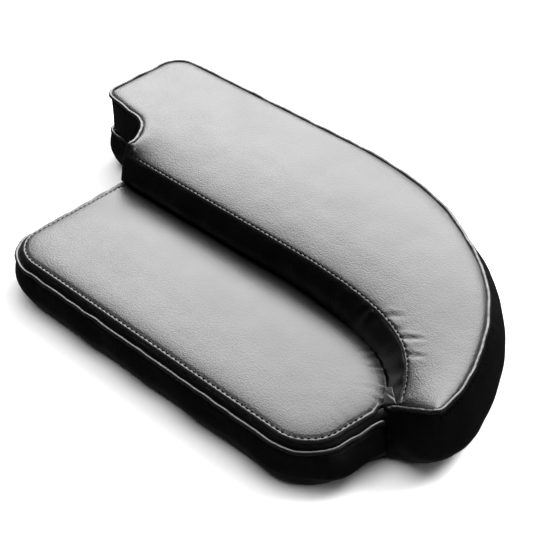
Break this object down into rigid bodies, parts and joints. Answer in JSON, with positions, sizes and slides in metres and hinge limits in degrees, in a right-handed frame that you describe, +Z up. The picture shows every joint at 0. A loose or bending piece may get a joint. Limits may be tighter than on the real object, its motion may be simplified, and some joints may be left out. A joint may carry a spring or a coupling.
{
  "type": "chair headrest pad",
  "caption": "Upholstered headrest pad for a chair: a low cushion with a raised bolster along one edge that curls round one end, on a board with threaded inserts.",
  "frame": {"origin": "middle of the underside's bounding rectangle, on the plane it lies on", "axes": "+X along the long side, +Y from the low pad to the bolster, +Z up from the board to the padding"},
  "size_m": [0.4586, 0.278, 0.084],
  "materials": {
    "cover_leather": "satin",
    "facing_leather": "satin",
    "piping_leather": "satin",
    "piping_cord": "matte",
    "foam": "matte",
    "plywood": "matte",
    "dust_cover": "matte",
    "t_nut_zinc": "satin",
    "staple_steel": "satin"
  },
  "bodies": {
    "root": {"back_board": "plywood", "base_foam": "foam", "base_piping": "piping_leather", "base_piping_cord": "piping_cord", "base_side_band": "cover_leather", "bolster_foam": "foam", "bolster_inner_facing": "facing_leather", "bolster_piping": "piping_leather", "bolster_piping_cord": "piping_cord", "bolster_side_band": "cover_leather", "bolster_top_panel": "cover_leather", "corner_gusset": "cover_leather", "dust_cover": "dust_cover", "left_end_band": "cover_leather", "pad_border_strip": "cover_leather", "pad_foam": "foam", "pad_top_panel": "cover_leather", "staple_01": "staple_steel", "staple_02": "staple_steel", "staple_03": "staple_steel", "staple_04": "staple_steel", "staple_05": "staple_steel", "staple_06": "staple_steel", "staple_07": "staple_steel", "staple_08": "staple_steel", "staple_09": "staple_steel", "staple_10": "staple_steel", "staple_11": "staple_steel", "staple_12": "staple_steel", "staple_13": "staple_steel", "staple_14": "staple_steel", "staple_15": "staple_steel", "staple_16": "staple_steel", "staple_17": "staple_steel", "staple_18": "staple_steel", "t_nut_1": "t_nut_zinc", "t_nut_2": "t_nut_zinc", "t_nut_3": "t_nut_zinc", "t_nut_4": "t_nut_zinc"}
  },
  "joints": []
}
